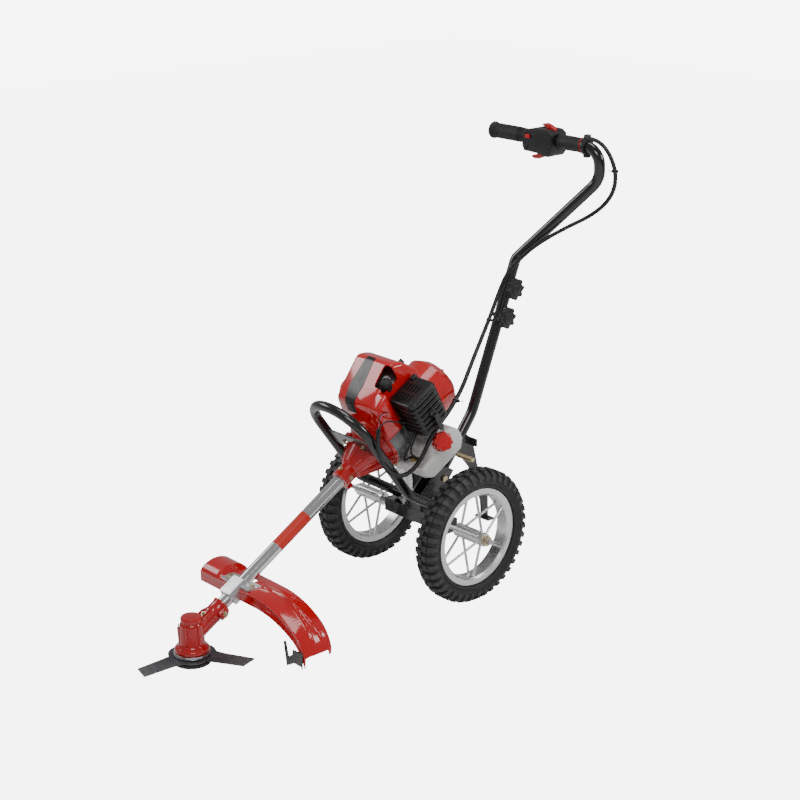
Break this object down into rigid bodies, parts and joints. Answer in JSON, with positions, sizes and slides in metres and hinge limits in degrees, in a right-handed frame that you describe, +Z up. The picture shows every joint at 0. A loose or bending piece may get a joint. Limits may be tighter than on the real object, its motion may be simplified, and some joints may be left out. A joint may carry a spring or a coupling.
{
  "type": "brush cutter",
  "caption": "Walk-behind petrol brush cutter: engine and clutch on a two-wheeled frame drive a shaft down a boom to a guarded metal blade, steered by a handlebar.",
  "frame": {"origin": "on the ground under the blade spindle, at the middle of the support cup's flat foot", "axes": "+Y from the blade towards the handlebar, +X to the side of the air cleaner, +Z up"},
  "size_m": [0.4517, 1.1705, 0.99],
  "materials": {
    "red_plastic": "gloss",
    "black_plastic": "satin",
    "white_plastic": "satin",
    "black_paint": "gloss",
    "red_paint": "gloss",
    "grey_paint": "satin",
    "cast_aluminium": "satin",
    "polished_tube": "polished",
    "machined_steel": "machined",
    "bright_zinc": "plated",
    "yellow_zinc": "plated",
    "black_rubber": "matte",
    "tyre_rubber": "matte",
    "filter_foam": "foam",
    "rope_cord": "braided"
  },
  "bodies": {
    "machine": {"axle_beam": "black_paint", "axle_rod": "machined_steel", "hoop_frame": "black_paint", "gusset_plate": "black_paint", "post_bracket": "black_paint", "lower_post": "black_paint", "upper_handle": "black_paint", "rear_stay": "black_paint", "end_grip": "black_rubber", "grip_sleeve": "black_rubber", "throttle_housing_front": "black_plastic", "throttle_housing_rear": "black_plastic", "boom_tube": "polished_tube", "gear_case": "red_paint", "bearings": "machined_steel", "blade_guard": "red_plastic", "guard_clamp": "cast_aluminium", "line_cutter": "black_paint", "clutch_housing": "red_paint", "crankcase": "cast_aluminium", "cylinder": "cast_aluminium", "piston": "cast_aluminium", "connecting_rod": "machined_steel", "spark_plug": "machined_steel", "plug_boot": "black_rubber", "fan_case": "cast_aluminium", "ignition_coil": "black_plastic", "engine_shroud": "red_plastic", "muffler": "bright_zinc", "carburettor": "cast_aluminium", "filter_element": "filter_foam", "air_cleaner_cover": "black_plastic", "recoil_housing": "red_plastic", "fuel_tank": "white_plastic", "throttle_loom": "black_plastic", "fasteners": "yellow_zinc"},
    "wheel_left": {"tyre_left": "tyre_rubber", "rim_left": "bright_zinc"},
    "wheel_right": {"tyre_right": "tyre_rubber", "rim_right": "bright_zinc"},
    "crank": {"crankshaft": "machined_steel", "flywheel": "cast_aluminium", "clutch_shoes": "machined_steel"},
    "drive_line": {"drive_shaft": "machined_steel", "clutch_drum": "machined_steel"},
    "spindle": {"output_shaft": "machined_steel", "blade_fixings": "bright_zinc", "cutting_blade": "grey_paint"},
    "support_cup": {"support_cup": "black_paint"},
    "throttle_trigger": {"throttle_trigger": "red_plastic"},
    "lock_lever": {"lock_lever": "red_plastic"},
    "stop_switch": {"stop_switch": "red_plastic"},
    "choke_lever": {"choke_lever": "black_plastic"},
    "primer_bulb": {"primer_bulb": "black_rubber"},
    "fuel_cap": {"fuel_cap": "red_plastic"},
    "recoil_pulley": {"recoil_pulley": "black_plastic"},
    "starter_handle": {"starter_handle": "black_plastic", "starter_rope": "rope_cord"},
    "star_knob_upper": {"star_knob_upper": "black_plastic"},
    "star_knob_lower": {"star_knob_lower": "black_plastic"}
  },
  "joints": [
    {"name": "wheel_left_spin", "type": "hinge", "parent": "machine", "child": "wheel_left", "pos_m": [0.163, 0.636, 0.152], "axis": [1, 0, 0], "continuous": true},
    {"name": "wheel_right_spin", "type": "hinge", "parent": "machine", "child": "wheel_right", "pos_m": [-0.163, 0.636, 0.152], "axis": [1, 0, 0], "continuous": true},
    {"name": "crank_spin", "type": "hinge", "parent": "machine", "child": "crank", "pos_m": [0, 0.58332, 0.4026], "axis": [0, 0.8616, 0.5075], "continuous": true},
    {"name": "blade_spin", "type": "hinge", "parent": "machine", "child": "spindle", "pos_m": [0, 0, 0.04], "axis": [0, 0, 1], "continuous": true},
    {"name": "drive_spin", "type": "hinge", "parent": "machine", "child": "drive_line", "pos_m": [0, 0, 0.059], "axis": [0, 0.8616, 0.5075], "continuous": true},
    {"name": "cup_spin", "type": "hinge", "parent": "machine", "child": "support_cup", "pos_m": [0, 0, 0.005], "axis": [0, 0, 1], "continuous": true},
    {"name": "throttle_pull", "type": "hinge", "parent": "machine", "child": "throttle_trigger", "pos_m": [0.03, 1.013, 0.931], "axis": [0, 1, 0], "range_deg": [0, 11], "stiffness_Nm_per_rad": 0.4, "springref_deg": -11.46},
    {"name": "lock_press", "type": "hinge", "parent": "machine", "child": "lock_lever", "pos_m": [0.03, 1.013, 0.975], "axis": [0, -1, 0], "range_deg": [0, 12], "stiffness_Nm_per_rad": 0.3, "springref_deg": -11.46},
    {"name": "stop_slide", "type": "slide", "parent": "machine", "child": "stop_switch", "axis": [1, 0, 0], "range_m": [0, 0.008]},
    {"name": "choke_turn", "type": "hinge", "parent": "machine", "child": "choke_lever", "pos_m": [0.1274, 0.56233, 0.43433], "axis": [1, 0, 0], "range_deg": [0, 60]},
    {"name": "primer_press", "type": "slide", "parent": "machine", "child": "primer_bulb", "axis": [0, -0.5075, 0.8616], "range_m": [0, 0.004], "stiffness_N_per_m": 600, "springref_m": -0.001},
    {"name": "cap_turn", "type": "hinge", "parent": "machine", "child": "fuel_cap", "pos_m": [0.084, 0.60571, 0.3508], "axis": [0.866, -0.2538, 0.4308], "range_deg": [0, 360]},
    {"name": "recoil_turn", "type": "hinge", "parent": "machine", "child": "recoil_pulley", "pos_m": [0, 0.65484, 0.44473], "axis": [0, -0.8616, -0.5075], "range_deg": [0, 1080]},
    {"name": "starter_pull", "type": "slide", "parent": "machine", "child": "starter_handle", "axis": [-1, 0, 0], "range_m": [0, 0.5562], "deforming": ["starter_rope"]},
    {"name": "upper_knob_turn", "type": "hinge", "parent": "machine", "child": "star_knob_upper", "pos_m": [0.0215, 0.90152, 0.63013], "axis": [1, 0, 0], "range_deg": [0, 720]},
    {"name": "lower_knob_turn", "type": "hinge", "parent": "machine", "child": "star_knob_lower", "pos_m": [0.0215, 0.87697, 0.56779], "axis": [1, 0, 0], "range_deg": [0, 720]}
  ],
  "couplings": [
    {"joint": "drive_spin", "follows": "blade_spin", "ratio": 1.3571},
    {"joint": "starter_pull", "follows": "recoil_turn", "m_per_rad": 0.0295}
  ]
}
